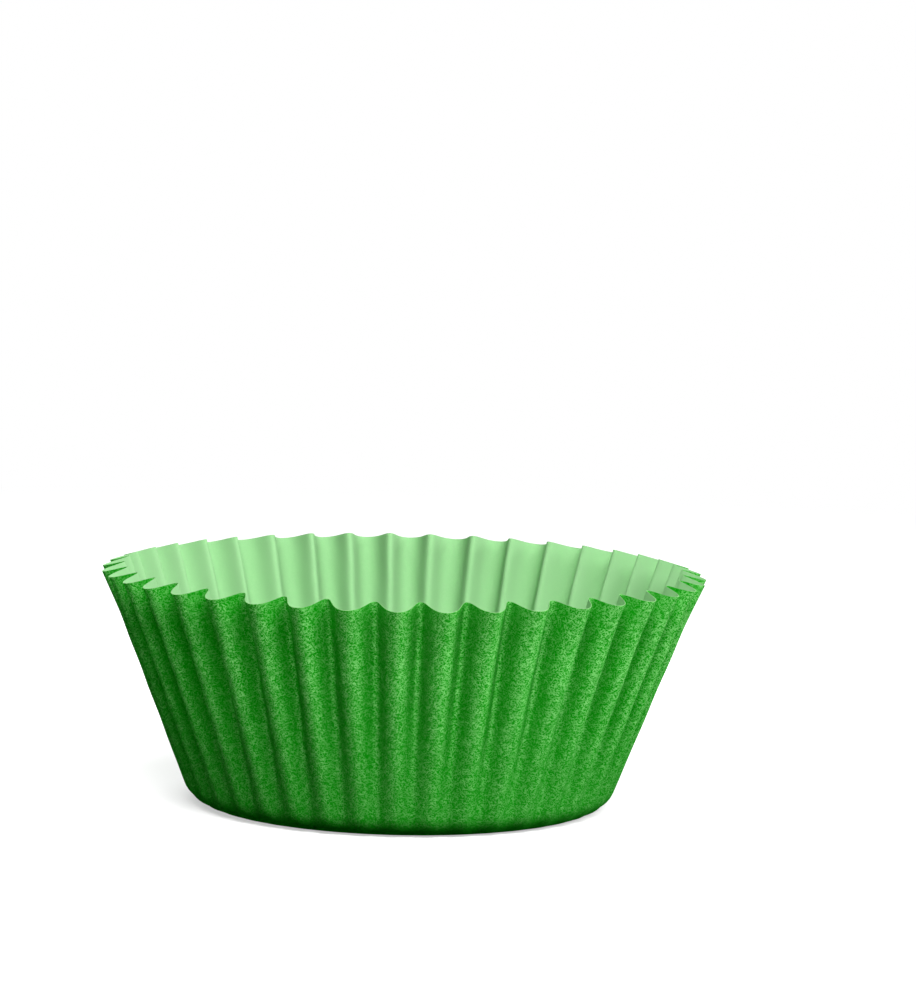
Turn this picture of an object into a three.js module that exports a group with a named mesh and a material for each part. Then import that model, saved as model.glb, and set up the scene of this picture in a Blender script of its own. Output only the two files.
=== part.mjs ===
// A pleated paper cupcake liner, made the way the real one is: one round sheet of thin baking paper
// pressed into a cup, with a flat base, a softly rounded foot and a wall of flutes that deepen
// towards a wavy rim. It is one closed solid, the thickness of the paper, and open at the top.
// Lengths are in millimetres and angles in degrees. +Z is up, and the cup stands on z = 0.
import * as THREE from "three";

// The cup
const base_diameter = 50; // over the ridges, at the corner that the foot's curve rounds off
const wall_length = 29.7; // along the paper, from that corner to the rim
const ridge_lean_degrees = 21.4; // how far a ridge leans out from upright
const valley_lean_degrees = 16.5; // how far the fold between two ridges leans out
const foot_radius = 3.6; // the curve where the base turns up into the wall
const rim_flare = 0.3; // how far the rim curls out beyond the straight wall
const flare_length = 8; // how much of the wall below the rim curls
const paper_thickness = 0.06;

// The flutes
const flute_count = 40;
const foot_flute_depth = 0.3; // how deep the folds would be at the corner, if they didn't fade in the foot
const ridge_breadth = 0.38; // how much broader a ridge is than a valley, as a share of a flute
const flank_steepness = 0.08; // how far the flanks between them are pressed upright, as a share of a flute

// The unevenness of pressed paper, as waves round the cup. They are all even, so that opposite
// sides match and the cup stays centred on its axis.
const uneven_waves = [4, 10, 18];
const pitch_unevenness = 0.05; // how far a ridge strays sideways at the rim, as a share of a flute
const depth_unevenness = 0.08; // how much deeper or shallower a fold is, as a share of its depth

// Where the surface is sampled
const samples_per_flute = 8;
const foot_rows = 3;
const wall_rows = 3;
const slope_step = 1e-4; // for the surface's direction, as a share of a turn or of a stretch

const paper_colour = 0x2c8f2c;
const full_turn = 2 * Math.PI;

// A cut through the paper from the axis to the rim, as radius and height. The station runs from 0
// to 1 over the flat base, from 1 to 2 round the foot and from 2 to 3 up the wall.
function section(station, lean_degrees, corner_radius) {
  const lean = THREE.MathUtils.degToRad(lean_degrees);
  const bend = Math.PI / 2 - lean;
  const setback = foot_radius * Math.tan(bend / 2);
  if (station <= 1) {
    return new THREE.Vector2(station * (corner_radius - setback), 0);
  }
  if (station <= 2) {
    const turned = (station - 1) * bend;
    const outward = corner_radius - setback + foot_radius * Math.sin(turned);
    return new THREE.Vector2(outward, foot_radius * (1 - Math.cos(turned)));
  }
  const along = setback + (station - 2) * (wall_length - setback);
  const curl = Math.max(0, 1 - (wall_length - along) / flare_length) ** 2 * rim_flare;
  return new THREE.Vector2(corner_radius + along * Math.sin(lean) + curl, along * Math.cos(lean));
}

function ridge_section(station) {
  return section(station, ridge_lean_degrees, base_diameter / 2);
}

function valley_section(station) {
  return section(station, valley_lean_degrees, base_diameter / 2 - foot_flute_depth);
}

const rim_flute_depth = ridge_section(3).x - valley_section(3).x;

// A smooth stray value between -1 and 1 for a place round the cup
function unevenness(turn, phase) {
  const waves = uneven_waves.map((count, i) => Math.sin(full_turn * count * turn + phase * (i + 1)));
  return waves.reduce((sum, wave) => sum + wave, 0) / waves.length;
}

// A point in the middle of the paper's thickness. The turn runs from 0 to 1 round the cup. The flutes
// fade out round the foot, so that the base's edge is a plain circle.
function paper_point(turn, station) {
  const flute = turn * flute_count;
  const ridge = ridge_section(station);
  const valley = valley_section(station);
  const fullness = (ridge.x - valley.x) / rim_flute_depth;
  const inward = ((1 - Math.cos(full_turn * flute)) / 2) * THREE.MathUtils.smoothstep(station, 1, 2);
  const depth = inward * (1 + depth_unevenness * unevenness(turn, 1));
  const edge = ridge.lerp(valley, depth);
  const broaden = (ridge_breadth * Math.sin(full_turn * flute)) / full_turn;
  const steepen = (flank_steepness * Math.sin(2 * full_turn * flute)) / full_turn;
  const stray = pitch_unevenness * unevenness(turn, 2);
  const angle = (full_turn * (flute + fullness * (broaden + steepen + stray))) / flute_count;
  return new THREE.Vector3(
    edge.x * Math.cos(angle),
    edge.x * Math.sin(angle),
    edge.y + paper_thickness / 2,
  );
}

// The direction that points out of the cup at a point of the paper
function outward_direction(turn, station) {
  if (station === 0) {
    return new THREE.Vector3(0, 0, -1);
  }
  const round = paper_point(turn + slope_step, station).sub(paper_point(turn - slope_step, station));
  const up = paper_point(turn, station + slope_step).sub(paper_point(turn, station - slope_step));
  return round.cross(up).normalize();
}

// A point on the outer or inner face of the paper
function face_point(turn, station, side) {
  const shift = outward_direction(turn, station).multiplyScalar((side * paper_thickness) / 2);
  return paper_point(turn, station).add(shift);
}

function steps_to(start, count) {
  return Array.from({ length: count }, (_, i) => start + (i + 1) / count);
}

// The whole sheet as one closed surface: the outer face, the inner face and the cut edge at the rim.
// Both faces split each four-sided patch along the same diagonal, so that they never cross.
function liner_geometry() {
  const columns = flute_count * samples_per_flute;
  const stations = [1, ...steps_to(1, foot_rows), ...steps_to(2, wall_rows)];
  const face_size = 1 + stations.length * columns;
  const positions = [];
  for (const side of [1, -1]) {
    positions.push(...face_point(0, 0, side));
    for (const station of stations) {
      for (let column = 0; column < columns; column++) {
        positions.push(...face_point(column / columns, station, side));
      }
    }
  }

  const triangles = [];
  const corner = (face, row, column) => face * face_size + 1 + row * columns + (column % columns);
  const patch = (a, b, c, d, rising) => {
    if (rising) {
      triangles.push(a, b, c, a, c, d);
    } else {
      triangles.push(a, b, d, b, c, d);
    }
  };
  for (let column = 0; column < columns; column++) {
    const next = column + 1;
    const rising = column % samples_per_flute < samples_per_flute / 2;
    triangles.push(0, corner(0, 0, next), corner(0, 0, column));
    triangles.push(face_size, corner(1, 0, column), corner(1, 0, next));
    for (let row = 0; row < stations.length - 1; row++) {
      const above = row + 1;
      patch(corner(0, row, column), corner(0, row, next), corner(0, above, next),
        corner(0, above, column), rising);
      patch(corner(1, row, next), corner(1, row, column), corner(1, above, column),
        corner(1, above, next), !rising);
    }
    const rim = stations.length - 1;
    patch(corner(0, rim, column), corner(0, rim, next), corner(1, rim, next),
      corner(1, rim, column), rising);
  }

  const geometry = new THREE.BufferGeometry();
  geometry.setAttribute("position", new THREE.Float32BufferAttribute(positions, 3));
  geometry.setIndex(triangles);
  geometry.computeVertexNormals();
  return geometry;
}

const green_paper = new THREE.MeshStandardMaterial({
  color: paper_colour,
  roughness: 0.85,
  metalness: 0,
});

const liner = new THREE.Mesh(liner_geometry(), green_paper);
liner.name = "liner";

const cupcake_liner = new THREE.Group();
cupcake_liner.add(liner);

export default cupcake_liner;
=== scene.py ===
"""The looks of a pleated paper cupcake liner: green baking paper in soft studio light."""

import math

import bpy
import numpy as np
from mathutils import Matrix, Vector


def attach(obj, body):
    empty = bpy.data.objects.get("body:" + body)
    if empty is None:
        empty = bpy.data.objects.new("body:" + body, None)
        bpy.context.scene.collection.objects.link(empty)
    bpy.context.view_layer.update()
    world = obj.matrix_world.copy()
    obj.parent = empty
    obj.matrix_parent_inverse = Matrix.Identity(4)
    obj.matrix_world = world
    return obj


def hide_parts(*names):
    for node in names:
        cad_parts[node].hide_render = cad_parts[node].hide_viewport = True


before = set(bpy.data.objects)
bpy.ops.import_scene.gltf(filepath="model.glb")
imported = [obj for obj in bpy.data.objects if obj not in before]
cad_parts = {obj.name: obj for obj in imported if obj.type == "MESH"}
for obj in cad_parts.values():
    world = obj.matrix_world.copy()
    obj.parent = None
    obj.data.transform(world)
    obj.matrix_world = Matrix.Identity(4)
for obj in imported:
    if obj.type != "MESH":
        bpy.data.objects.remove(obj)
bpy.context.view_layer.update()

mm = 0.001
full_turn = 2 * math.pi

# The cup, with the same driving sizes as its solid
base_diameter = 50 * mm
wall_length = 29.7 * mm
ridge_lean = math.radians(21.4)
valley_lean = math.radians(16.5)
foot_radius = 3.6 * mm
rim_flare = 0.3 * mm
flare_length = 8 * mm
paper_thickness = 0.06 * mm
flute_count = 40
foot_flute_depth = 0.3 * mm
ridge_breadth = 0.38
flank_steepness = 0.08
uneven_waves = (4, 10, 18)
pitch_unevenness = 0.05
depth_unevenness = 0.08

# What the solid leaves out: flutes that wander a little sideways on their way up, and soft dents
sway = 0.02 * mm
sway_waves = 2.3  # up the wall
sway_shifts = ((5, 6), (3, 22))  # how far out of step, in radians, and in how many waves round
dent_depth = 0.03 * mm
dent_spacing = 7 * mm
dent_waves = 2  # round the cup, in which the dents crowd together and thin out
dent_end = 1.2  # where the dents would fade away, as a share of the wall's height
dent_gain = 3  # makes them about as deep as dent_depth half way up

# Where painted shade darkens the paper: beside the folds of the flutes, and at the foot. A step
# runs from 0 on a ridge to 0.5 in the bottom of a fold, and a station is a place along the paper:
# 0 to 1 over the base, to 2 round the foot, to 3 at the rim.
flank_steps = (0.06, 0.26, 0.38, 0.48)
flank_shade_shares = (0, 0.9, 0.9, 0.1)
flank_start = 1.6
flank_fade = 0.9
foot_shade_end = 1.5
foot_shade_fade = 1.2

# Where the fine surface is sampled
samples_per_flute = 28
base_rings = 3
foot_rows = 9
wall_rows = 26
slope_step = 1e-4
rim_edge_angle = math.radians(60)

# Which material each part of the mesh has
outside, inside, edge = 0, 1, 2

# Colours, as linear light
dye_green = (0.0, 0.26, 0.0, 1)
# darker dye in random patches, and painted shade beside the folds and at the foot
dark_dye_and_shade_green = (0.0, 0.18, 0.0, 1)
# pale fibres, and the painted highlight on the ridges
fibre_and_ridge_light_green = (0.27, 0.78, 0.22, 1)
inside_green = (0.18, 0.33, 0.165, 1)
inside_fibre = (0.24, 0.38, 0.21, 1)
through_green = (0.0, 0.50, 0.0, 1)
through_inside = (0.6, 0.8, 0.6, 1)
cut_edge = (0.15, 0.34, 0.12, 1)
cut_dark = (0.10, 0.27, 0.08, 1)
cut_fibre = (0.24, 0.44, 0.20, 1)
white = (1, 1, 1, 1)

# The paper's finish. Levels are of a noise that runs from 0 to 1.
cloud_size = 4 * mm  # of the patches where the dye is darker
cloud_levels = (0.35, 0.65)
cloud_strength = 0.2
clump_size = 0.7 * mm  # of the patches where the fibres are weaker
clump_levels = (0.3, 0.7)
clump_weakest = 0.5
clump_shift = 0.3  # moves the clumps away from the clouds
fibre_length = 0.6 * mm
fibre_width = 0.14 * mm
fibre_levels = (0.61, 0.74)  # where a fibre begins, and where it is whole
fibre_directions = ((1, 1, 1), (-1, 1, 1), (1, -1, 1), (1, 1, -1), (1, 0.3, 0.1), (0.2, 1, -0.1))
shaded_fibre_share = 0.3  # painted light: how much of the fibres still shows beside a fold, so that the ridges look lit
light_through = 0.3  # how much of the light goes through the paper

# The floor and the light around
floor_half = 4.0
floor_drop = 0.05 * mm
floor_reach = 0.35  # where it has turned to plain white
floor_near = 0.3  # where it starts to, as a share of that
floor_unseen = (0.01, 0.01, 0.01, 1)
floor_seen = (0.4, 0.4, 0.4, 1)
floor_glow = 0.5
ambient_strength = 0.05
softbox_distance = 0.8
softbox_size = 0.4

# The camera, placed as the photograph's was: a little above the rim, looking past the cup
camera_distance = 536.1 * mm
camera_target_height = 13.3 * mm
camera_elevation = math.radians(8.641)
camera_azimuth = 0.0229
camera_yaw = math.radians(-0.669)
camera_pitch = math.radians(2.471)
camera_roll = math.radians(-1.248)
camera_lens = 160.6


def section(station, lean, corner_radius):
    """Radius and height of a cut through the paper, at a station from 0 to 3."""
    bend = math.pi / 2 - lean
    setback = foot_radius * math.tan(bend / 2)
    turned = (station - 1) * bend
    along = setback + (station - 2) * (wall_length - setback)
    curl = np.maximum(0, 1 - (wall_length - along) / flare_length) ** 2 * rim_flare
    stretches = [station <= 1, station <= 2]
    base_radius = station * (corner_radius - setback)
    bent_radius = corner_radius - setback + foot_radius * np.sin(turned)
    wall_radius = corner_radius + along * math.sin(lean) + curl
    radius = np.select(stretches, [base_radius, bent_radius], wall_radius)
    bent_height = foot_radius * (1 - np.cos(turned))
    height = np.select(stretches, [0 * station, bent_height], along * math.cos(lean))
    return radius, height


def ridge_section(station):
    return section(station, ridge_lean, base_diameter / 2)


def valley_section(station):
    return section(station, valley_lean, base_diameter / 2 - foot_flute_depth)


rim = np.array(3.0)
rim_flute_depth = ridge_section(rim)[0] - valley_section(rim)[0]


def unevenness(turn, phase):
    """A smooth stray value between -1 and 1 for a place round the cup."""
    waves = [
        np.sin(full_turn * count * turn + phase * (i + 1)) for i, count in enumerate(uneven_waves)
    ]
    return sum(waves) / len(waves)


def paper_points(turn, station):
    """Points in the middle of the paper's thickness, in metres."""
    flute = turn * flute_count
    ridge_r, ridge_z = ridge_section(station)
    valley_r, valley_z = valley_section(station)
    fullness = (ridge_r - valley_r) / rim_flute_depth
    foot_share = np.clip(station - 1, 0, 1)
    pressed = foot_share**2 * (3 - 2 * foot_share)
    inward = (1 - np.cos(full_turn * flute)) / 2 * pressed
    depth = inward * (1 + depth_unevenness * unevenness(turn, 1))
    radius = ridge_r + depth * (valley_r - ridge_r)
    height = ridge_z + depth * (valley_z - ridge_z)

    broaden = ridge_breadth * np.sin(full_turn * flute) / full_turn
    steepen = flank_steepness * np.sin(2 * full_turn * flute) / full_turn
    stray = pitch_unevenness * unevenness(turn, 2)
    angle = full_turn * (flute + fullness * (broaden + steepen + stray)) / flute_count

    climb = np.clip(station - 2, 0, 1)
    out_of_step = full_turn * sway_waves * climb
    for shift, count in sway_shifts:
        out_of_step = out_of_step + shift * np.sin(full_turn * count * turn)
    wander = sway * np.sin(math.pi * climb) * np.sin(out_of_step)
    angle = angle + wander / np.maximum(radius, foot_radius)

    waves = full_turn * np.maximum(radius, foot_radius) / dent_spacing
    crowding = waves * np.sin(full_turn * dent_waves * turn)
    dents = np.sin(crowding + height * full_turn / dent_spacing)
    radius = radius + dent_depth * climb * (dent_end - climb) * dent_gain * dents
    return np.stack(
        [radius * np.cos(angle), radius * np.sin(angle), height + paper_thickness / 2], axis=-1
    )


def outward_directions(turn, station):
    """Unit vectors that point out of the cup."""
    around = paper_points(turn + slope_step, station) - paper_points(turn - slope_step, station)
    upward = paper_points(turn, station + slope_step) - paper_points(turn, station - slope_step)
    normal = np.cross(around, upward)
    return normal / np.linalg.norm(normal, axis=-1, keepdims=True)


def flank_shading(turn, station):
    """How much painted shade a point gets on a flute's side: 0 on a ridge, nearly 1 beside a fold.
    """
    step = 0.5 - np.abs(turn * flute_count % 1 - 0.5)
    side = np.interp(step, flank_steps, flank_shade_shares)
    return side * np.clip((station - flank_start) / flank_fade, 0, 1)


def foot_shading(station):
    """How much painted shade a point gets at the foot: 1 on the base, and 0 up the wall."""
    return 1 - np.clip((station - foot_shade_end) / foot_shade_fade, 0, 1)


def add_attribute(mesh, name, at_centre, values):
    """A value at each vertex, alike on both faces. The base's centre comes first on each face."""
    values = np.concatenate([[at_centre], values.ravel()] * 2).astype(np.float32)
    mesh.attributes.new(name, "FLOAT", "POINT").data.foreach_set("value", values)


def liner_mesh():
    """The sheet as one closed mesh: outer face, inner face and the cut edge between them."""
    columns = flute_count * samples_per_flute
    stations = np.concatenate(
        [
            np.linspace(0, 1, base_rings + 1)[1:],
            np.linspace(1, 2, foot_rows + 1)[1:],
            np.linspace(2, 3, wall_rows + 1)[1:],
        ]
    )
    rows = len(stations)
    station, turn = np.meshgrid(stations, np.arange(columns) / columns, indexing="ij")
    middle = paper_points(turn, station)
    out = outward_directions(turn, station) * paper_thickness / 2
    centre = np.array([[0, 0, paper_thickness / 2]])
    down = np.array([[0, 0, -paper_thickness / 2]])
    outer_face = [centre + down, (middle + out).reshape(-1, 3)]
    inner_face = [centre - down, (middle - out).reshape(-1, 3)]
    verts = np.concatenate(outer_face + inner_face)

    # Each ring of vertices, by its first one
    face_size = 1 + rows * columns
    outer = 1 + np.arange(rows) * columns
    inner = face_size + outer
    here = np.arange(columns)
    after = (here + 1) % columns

    def fan(centre_vertex, start, first, second):
        return np.stack([np.full(columns, centre_vertex), start + first, start + second], axis=1)

    def band(low, high, first, second):
        return np.stack([low + first, low + second, high + second, high + first], axis=1)

    groups = [fan(0, outer[0], after, here), fan(face_size, inner[0], here, after)]
    for row in range(rows - 1):
        groups.append(band(outer[row], outer[row + 1], here, after))
        groups.append(band(inner[row], inner[row + 1], after, here))
    groups.append(band(outer[-1], inner[-1], here, after))
    sides = np.repeat([outside, inside] * rows + [edge], columns)

    mesh = bpy.data.meshes.new("liner_paper")
    faces = [face.tolist() for group in groups for face in group]
    mesh.from_pydata(verts.tolist(), [], faces)
    mesh.polygons.foreach_set("material_index", sides.astype(np.int32))
    mesh.polygons.foreach_set("use_smooth", np.ones(len(faces), dtype=bool))
    # Masks for painted shade: beside the folds of the flutes, and at the foot
    add_attribute(mesh, "flank_shade", 0, flank_shading(turn, station))
    add_attribute(mesh, "foot", 1, foot_shading(station))
    mesh.update()
    mesh.set_sharp_from_angle(angle=rim_edge_angle)
    return mesh


class Nodes:
    """A short way to write a material's nodes."""

    def __init__(self, name):
        self.material = bpy.data.materials.new(name)
        self.material.use_nodes = True
        self.tree = self.material.node_tree
        self.tree.nodes.clear()

    def add(self, kind, inputs=None, **settings):
        node = self.tree.nodes.new(kind)
        for key, value in settings.items():
            setattr(node, key, value)
        for key, value in (inputs or {}).items():
            if isinstance(value, bpy.types.NodeSocket):
                self.tree.links.new(value, node.inputs[key])
            else:
                node.inputs[key].default_value = value
        return node

    def math(self, operation, a, b):
        return self.add("ShaderNodeMath", {0: a, 1: b}, operation=operation).outputs[0]

    def ramp(self, value, low, high, to_low=0.0, to_high=1.0):
        inputs = {
            "Value": value,
            "From Min": low,
            "From Max": high,
            "To Min": to_low,
            "To Max": to_high,
        }
        return self.add("ShaderNodeMapRange", inputs, interpolation_type="SMOOTHSTEP").outputs[0]

    def noise(self, place, size, detail, shift=0.0):
        """Noise whose blotches are about the given size, in metres."""
        away = (shift, 2 * shift, -shift)
        moved = self.add("ShaderNodeVectorMath", {0: place, 1: away}, operation="ADD").outputs[0]
        inputs = {"Vector": moved, "Scale": 1 / size, "Detail": detail}
        return self.add("ShaderNodeTexNoise", inputs).outputs["Fac"]

    def mix(self, factor, a, b):
        """A blend of two colours. Sockets 6, 7 and 2 are the node's colour ones."""
        return self.add("ShaderNodeMix", {0: factor, 6: a, 7: b}, data_type="RGBA").outputs[2]

    def attribute(self, name):
        return self.add("ShaderNodeAttribute", attribute_name=name).outputs["Fac"]

    def finish(self, shader):
        output = self.add("ShaderNodeOutputMaterial")
        self.tree.links.new(shader, output.inputs["Surface"])
        return self.material


def strokes(nodes, place, direction):
    """Short straight fibres that run one way: a noise stretched along it, cut off at a level."""
    lie = Vector(direction).to_track_quat("X", "Z").to_euler()
    inputs = {
        "Vector": place,
        "Rotation": tuple(lie),
        "Scale": (fibre_length, fibre_width, fibre_width),
    }
    stretched = nodes.add("ShaderNodeMapping", inputs, vector_type="TEXTURE").outputs[0]
    inputs = {"Vector": stretched, "Scale": 1.0, "Detail": 0.0}
    return nodes.ramp(nodes.add("ShaderNodeTexNoise", inputs).outputs["Fac"], *fibre_levels)


def paper(name, dye, pressed, fibre, through, ridge_highlight, fibre_strength, foot_shade):
    """Dyed paper with pale fibres, and painted shade beside the folds of the flutes and at the
    foot.

    Beside the folds the colour is painted darker and the fibres show less, so that the ridges look
    lit. The pressed colour serves both the dye's darker random patches and this painted shade. Of
    the last three arguments, the first is how far a painted highlight lightens the ridges all
    over, the second how clearly single fibres show, and the third how much painted shade darkens
    the foot.
    Light comes through in its own colour, darkened at the foot by the same painted shade.
    """
    nodes = Nodes(name)
    place = nodes.add("ShaderNodeTexCoord").outputs["Object"]
    flank_shade = nodes.attribute("flank_shade")
    cloud = nodes.noise(place, cloud_size, detail=3.0)
    clump = nodes.noise(place, clump_size, detail=2.0, shift=clump_shift)
    clump = nodes.ramp(clump, *clump_levels, clump_weakest, 1.0)
    lying = 0.0
    for direction in fibre_directions:
        lying = nodes.math("MAXIMUM", lying, strokes(nodes, place, direction))
    # Painted light: the fibres show less beside the folds, so that the ridges look lit
    shown = nodes.ramp(flank_shade, 0.0, 1.0, fibre_strength, shaded_fibre_share * fibre_strength)

    # Painted highlight: the ridges lightened towards the pale fibre colour
    colour = nodes.mix(nodes.ramp(flank_shade, 0.0, 1.0, ridge_highlight, 0.0), dye, fibre)
    colour = nodes.mix(nodes.ramp(cloud, *cloud_levels, 0.0, cloud_strength), colour, pressed)
    # Painted shade beside the folds of the flutes
    colour = nodes.mix(flank_shade, colour, pressed)
    clear = nodes.math("MULTIPLY", nodes.math("MULTIPLY", lying, clump), shown)
    colour = nodes.mix(clear, colour, fibre)
    # Painted shade at the foot, on the colour and on the light that comes through
    if foot_shade:
        painted_foot_shade = nodes.math("MULTIPLY", nodes.attribute("foot"), foot_shade)
        colour = nodes.mix(painted_foot_shade, colour, pressed)
        through = nodes.mix(painted_foot_shade, through, pressed)

    relief = nodes.add("ShaderNodeBump", {"Height": lying, "Strength": 0.3, "Distance": 0.01 * mm})
    surface = nodes.add(
        "ShaderNodeBsdfPrincipled",
        {
            "Base Color": colour,
            "Normal": relief.outputs[0],
            "Roughness": 0.9,
            "Specular IOR Level": 0.01,
            "Sheen Weight": 0.02,
            "Sheen Roughness": 0.35,
            "Sheen Tint": (0.1, 0.6, 0.1, 1),
        },
    ).outputs[0]
    glow = nodes.add("ShaderNodeBsdfTranslucent", {"Color": through}).outputs[0]
    both = nodes.add("ShaderNodeMixShader", {0: light_through, 1: surface, 2: glow})
    return nodes.finish(both.outputs[0])


def make_liner():
    mesh = liner_mesh()
    finishes = [
        paper(
            "paper_outside", dye_green, dark_dye_and_shade_green, fibre_and_ridge_light_green, through_green,
            ridge_highlight=0.05, fibre_strength=0.95, foot_shade=0.95,
        ),
        paper(
            "paper_inside", inside_green, inside_green, inside_fibre, through_inside,
            ridge_highlight=0.0, fibre_strength=0.3, foot_shade=0.0,
        ),
        paper(
            "paper_edge", cut_edge, cut_dark, cut_fibre, cut_edge,
            ridge_highlight=0.0, fibre_strength=0.8, foot_shade=0.0,
        ),
    ]
    for finish in finishes:
        mesh.materials.append(finish)
    liner = bpy.data.objects.new("liner_paper", mesh)
    bpy.context.scene.collection.objects.link(liner)
    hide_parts("liner")
    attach(liner, "root")


def floor_material():
    """Pale floor with the cup's shadow. Seen directly, it is plain white away from the cup. To
    the light it throws back onto the cup it is nearly black, so the cup's foot gets little light
    from below.
    """
    nodes = Nodes("pale_floor")
    place = nodes.add("ShaderNodeTexCoord").outputs["Object"]
    distance = nodes.add("ShaderNodeVectorMath", {0: place}, operation="LENGTH").outputs["Value"]
    far = nodes.ramp(distance, floor_near * floor_reach, floor_reach)
    path = nodes.add("ShaderNodeLightPath")
    seen = nodes.math("MAXIMUM", path.outputs["Is Camera Ray"], path.outputs["Is Glossy Ray"])
    seen = nodes.math("MAXIMUM", seen, path.outputs["Is Transmission Ray"])
    pale = nodes.mix(seen, floor_unseen, floor_seen)
    lit = nodes.add("ShaderNodeBsdfDiffuse", {"Color": pale}).outputs[0]
    glow = nodes.add("ShaderNodeEmission", {"Color": white, "Strength": floor_glow}).outputs[0]
    plain = nodes.add("ShaderNodeEmission", {"Color": white, "Strength": 1.0}).outputs[0]
    near = nodes.add("ShaderNodeAddShader", {0: lit, 1: glow}).outputs[0]
    shown = nodes.add("ShaderNodeMixShader", {0: far, 1: near, 2: plain}).outputs[0]
    return nodes.finish(nodes.add("ShaderNodeMixShader", {0: seen, 1: lit, 2: shown}).outputs[0])


def make_floor():
    mesh = bpy.data.meshes.new("floor")
    square = ((-1, -1), (1, -1), (1, 1), (-1, 1))
    corners = [(x * floor_half, y * floor_half, -floor_drop) for x, y in square]
    mesh.from_pydata(corners, [], [(0, 1, 2, 3)])
    mesh.materials.append(floor_material())
    floor = bpy.data.objects.new("floor", mesh)
    bpy.context.scene.collection.objects.link(floor)


def make_world():
    """White where the camera looks past the floor, and a weak plain light on the cup."""
    world = bpy.data.worlds.new("studio")
    world.use_nodes = True
    bpy.context.scene.world = world
    tree = world.node_tree
    tree.nodes.clear()
    path = tree.nodes.new("ShaderNodeLightPath")
    ambient = tree.nodes.new("ShaderNodeBackground")
    ambient.inputs["Strength"].default_value = ambient_strength
    backdrop = tree.nodes.new("ShaderNodeBackground")
    backdrop.inputs["Color"].default_value = white
    seen = tree.nodes.new("ShaderNodeMixShader")
    output = tree.nodes.new("ShaderNodeOutputWorld")
    tree.links.new(path.outputs["Is Camera Ray"], seen.inputs[0])
    tree.links.new(ambient.outputs[0], seen.inputs[1])
    tree.links.new(backdrop.outputs[0], seen.inputs[2])
    tree.links.new(seen.outputs[0], output.inputs["Surface"])


def soft_light(name, azimuth, elevation, power, width=softbox_size, height=softbox_size):
    """A softbox aimed at the cup. Azimuth 0 is the camera's side, and grows to the right."""
    lamp = bpy.data.lights.new(name, "AREA")
    lamp.shape = "RECTANGLE"
    lamp.size = width
    lamp.size_y = height
    lamp.energy = power
    holder = bpy.data.objects.new(name, lamp)
    turn = Matrix.Rotation(math.radians(azimuth), 4, "Z")
    tilt = Matrix.Rotation(math.radians(90 - elevation), 4, "X")
    holder.matrix_world = turn @ tilt @ Matrix.Translation((0, 0, softbox_distance))
    bpy.context.scene.collection.objects.link(holder)


def make_lights():
    soft_light("key_right", azimuth=42, elevation=42, power=8.0)
    soft_light("front", azimuth=4, elevation=50, power=12.5)
    soft_light("side_right", azimuth=92, elevation=16, power=6.0)
    soft_light("side_left", azimuth=-70, elevation=58, power=2.2)
    soft_light("back", azimuth=175, elevation=35, power=8.0, width=0.6, height=0.5)


def make_camera():
    camera = bpy.data.cameras.new("camera")
    camera.lens = camera_lens
    holder = bpy.data.objects.new("camera", camera)
    back = camera_distance * math.cos(camera_elevation)
    up = camera_distance * math.sin(camera_elevation) + camera_target_height
    holder.matrix_world = (
        Matrix.Rotation(camera_azimuth, 4, "Z")
        @ Matrix.Translation((0, -back, up))
        @ Matrix.Rotation(math.pi / 2 - camera_elevation, 4, "X")
        @ Matrix.Rotation(camera_yaw, 4, "Y")
        @ Matrix.Rotation(camera_pitch, 4, "X")
        @ Matrix.Rotation(-camera_roll, 4, "Z")
    )
    bpy.context.scene.collection.objects.link(holder)
    bpy.context.scene.camera = holder


make_camera()
make_world()
make_lights()
make_floor()
make_liner()
bpy.context.scene.view_settings.view_transform = "Standard"
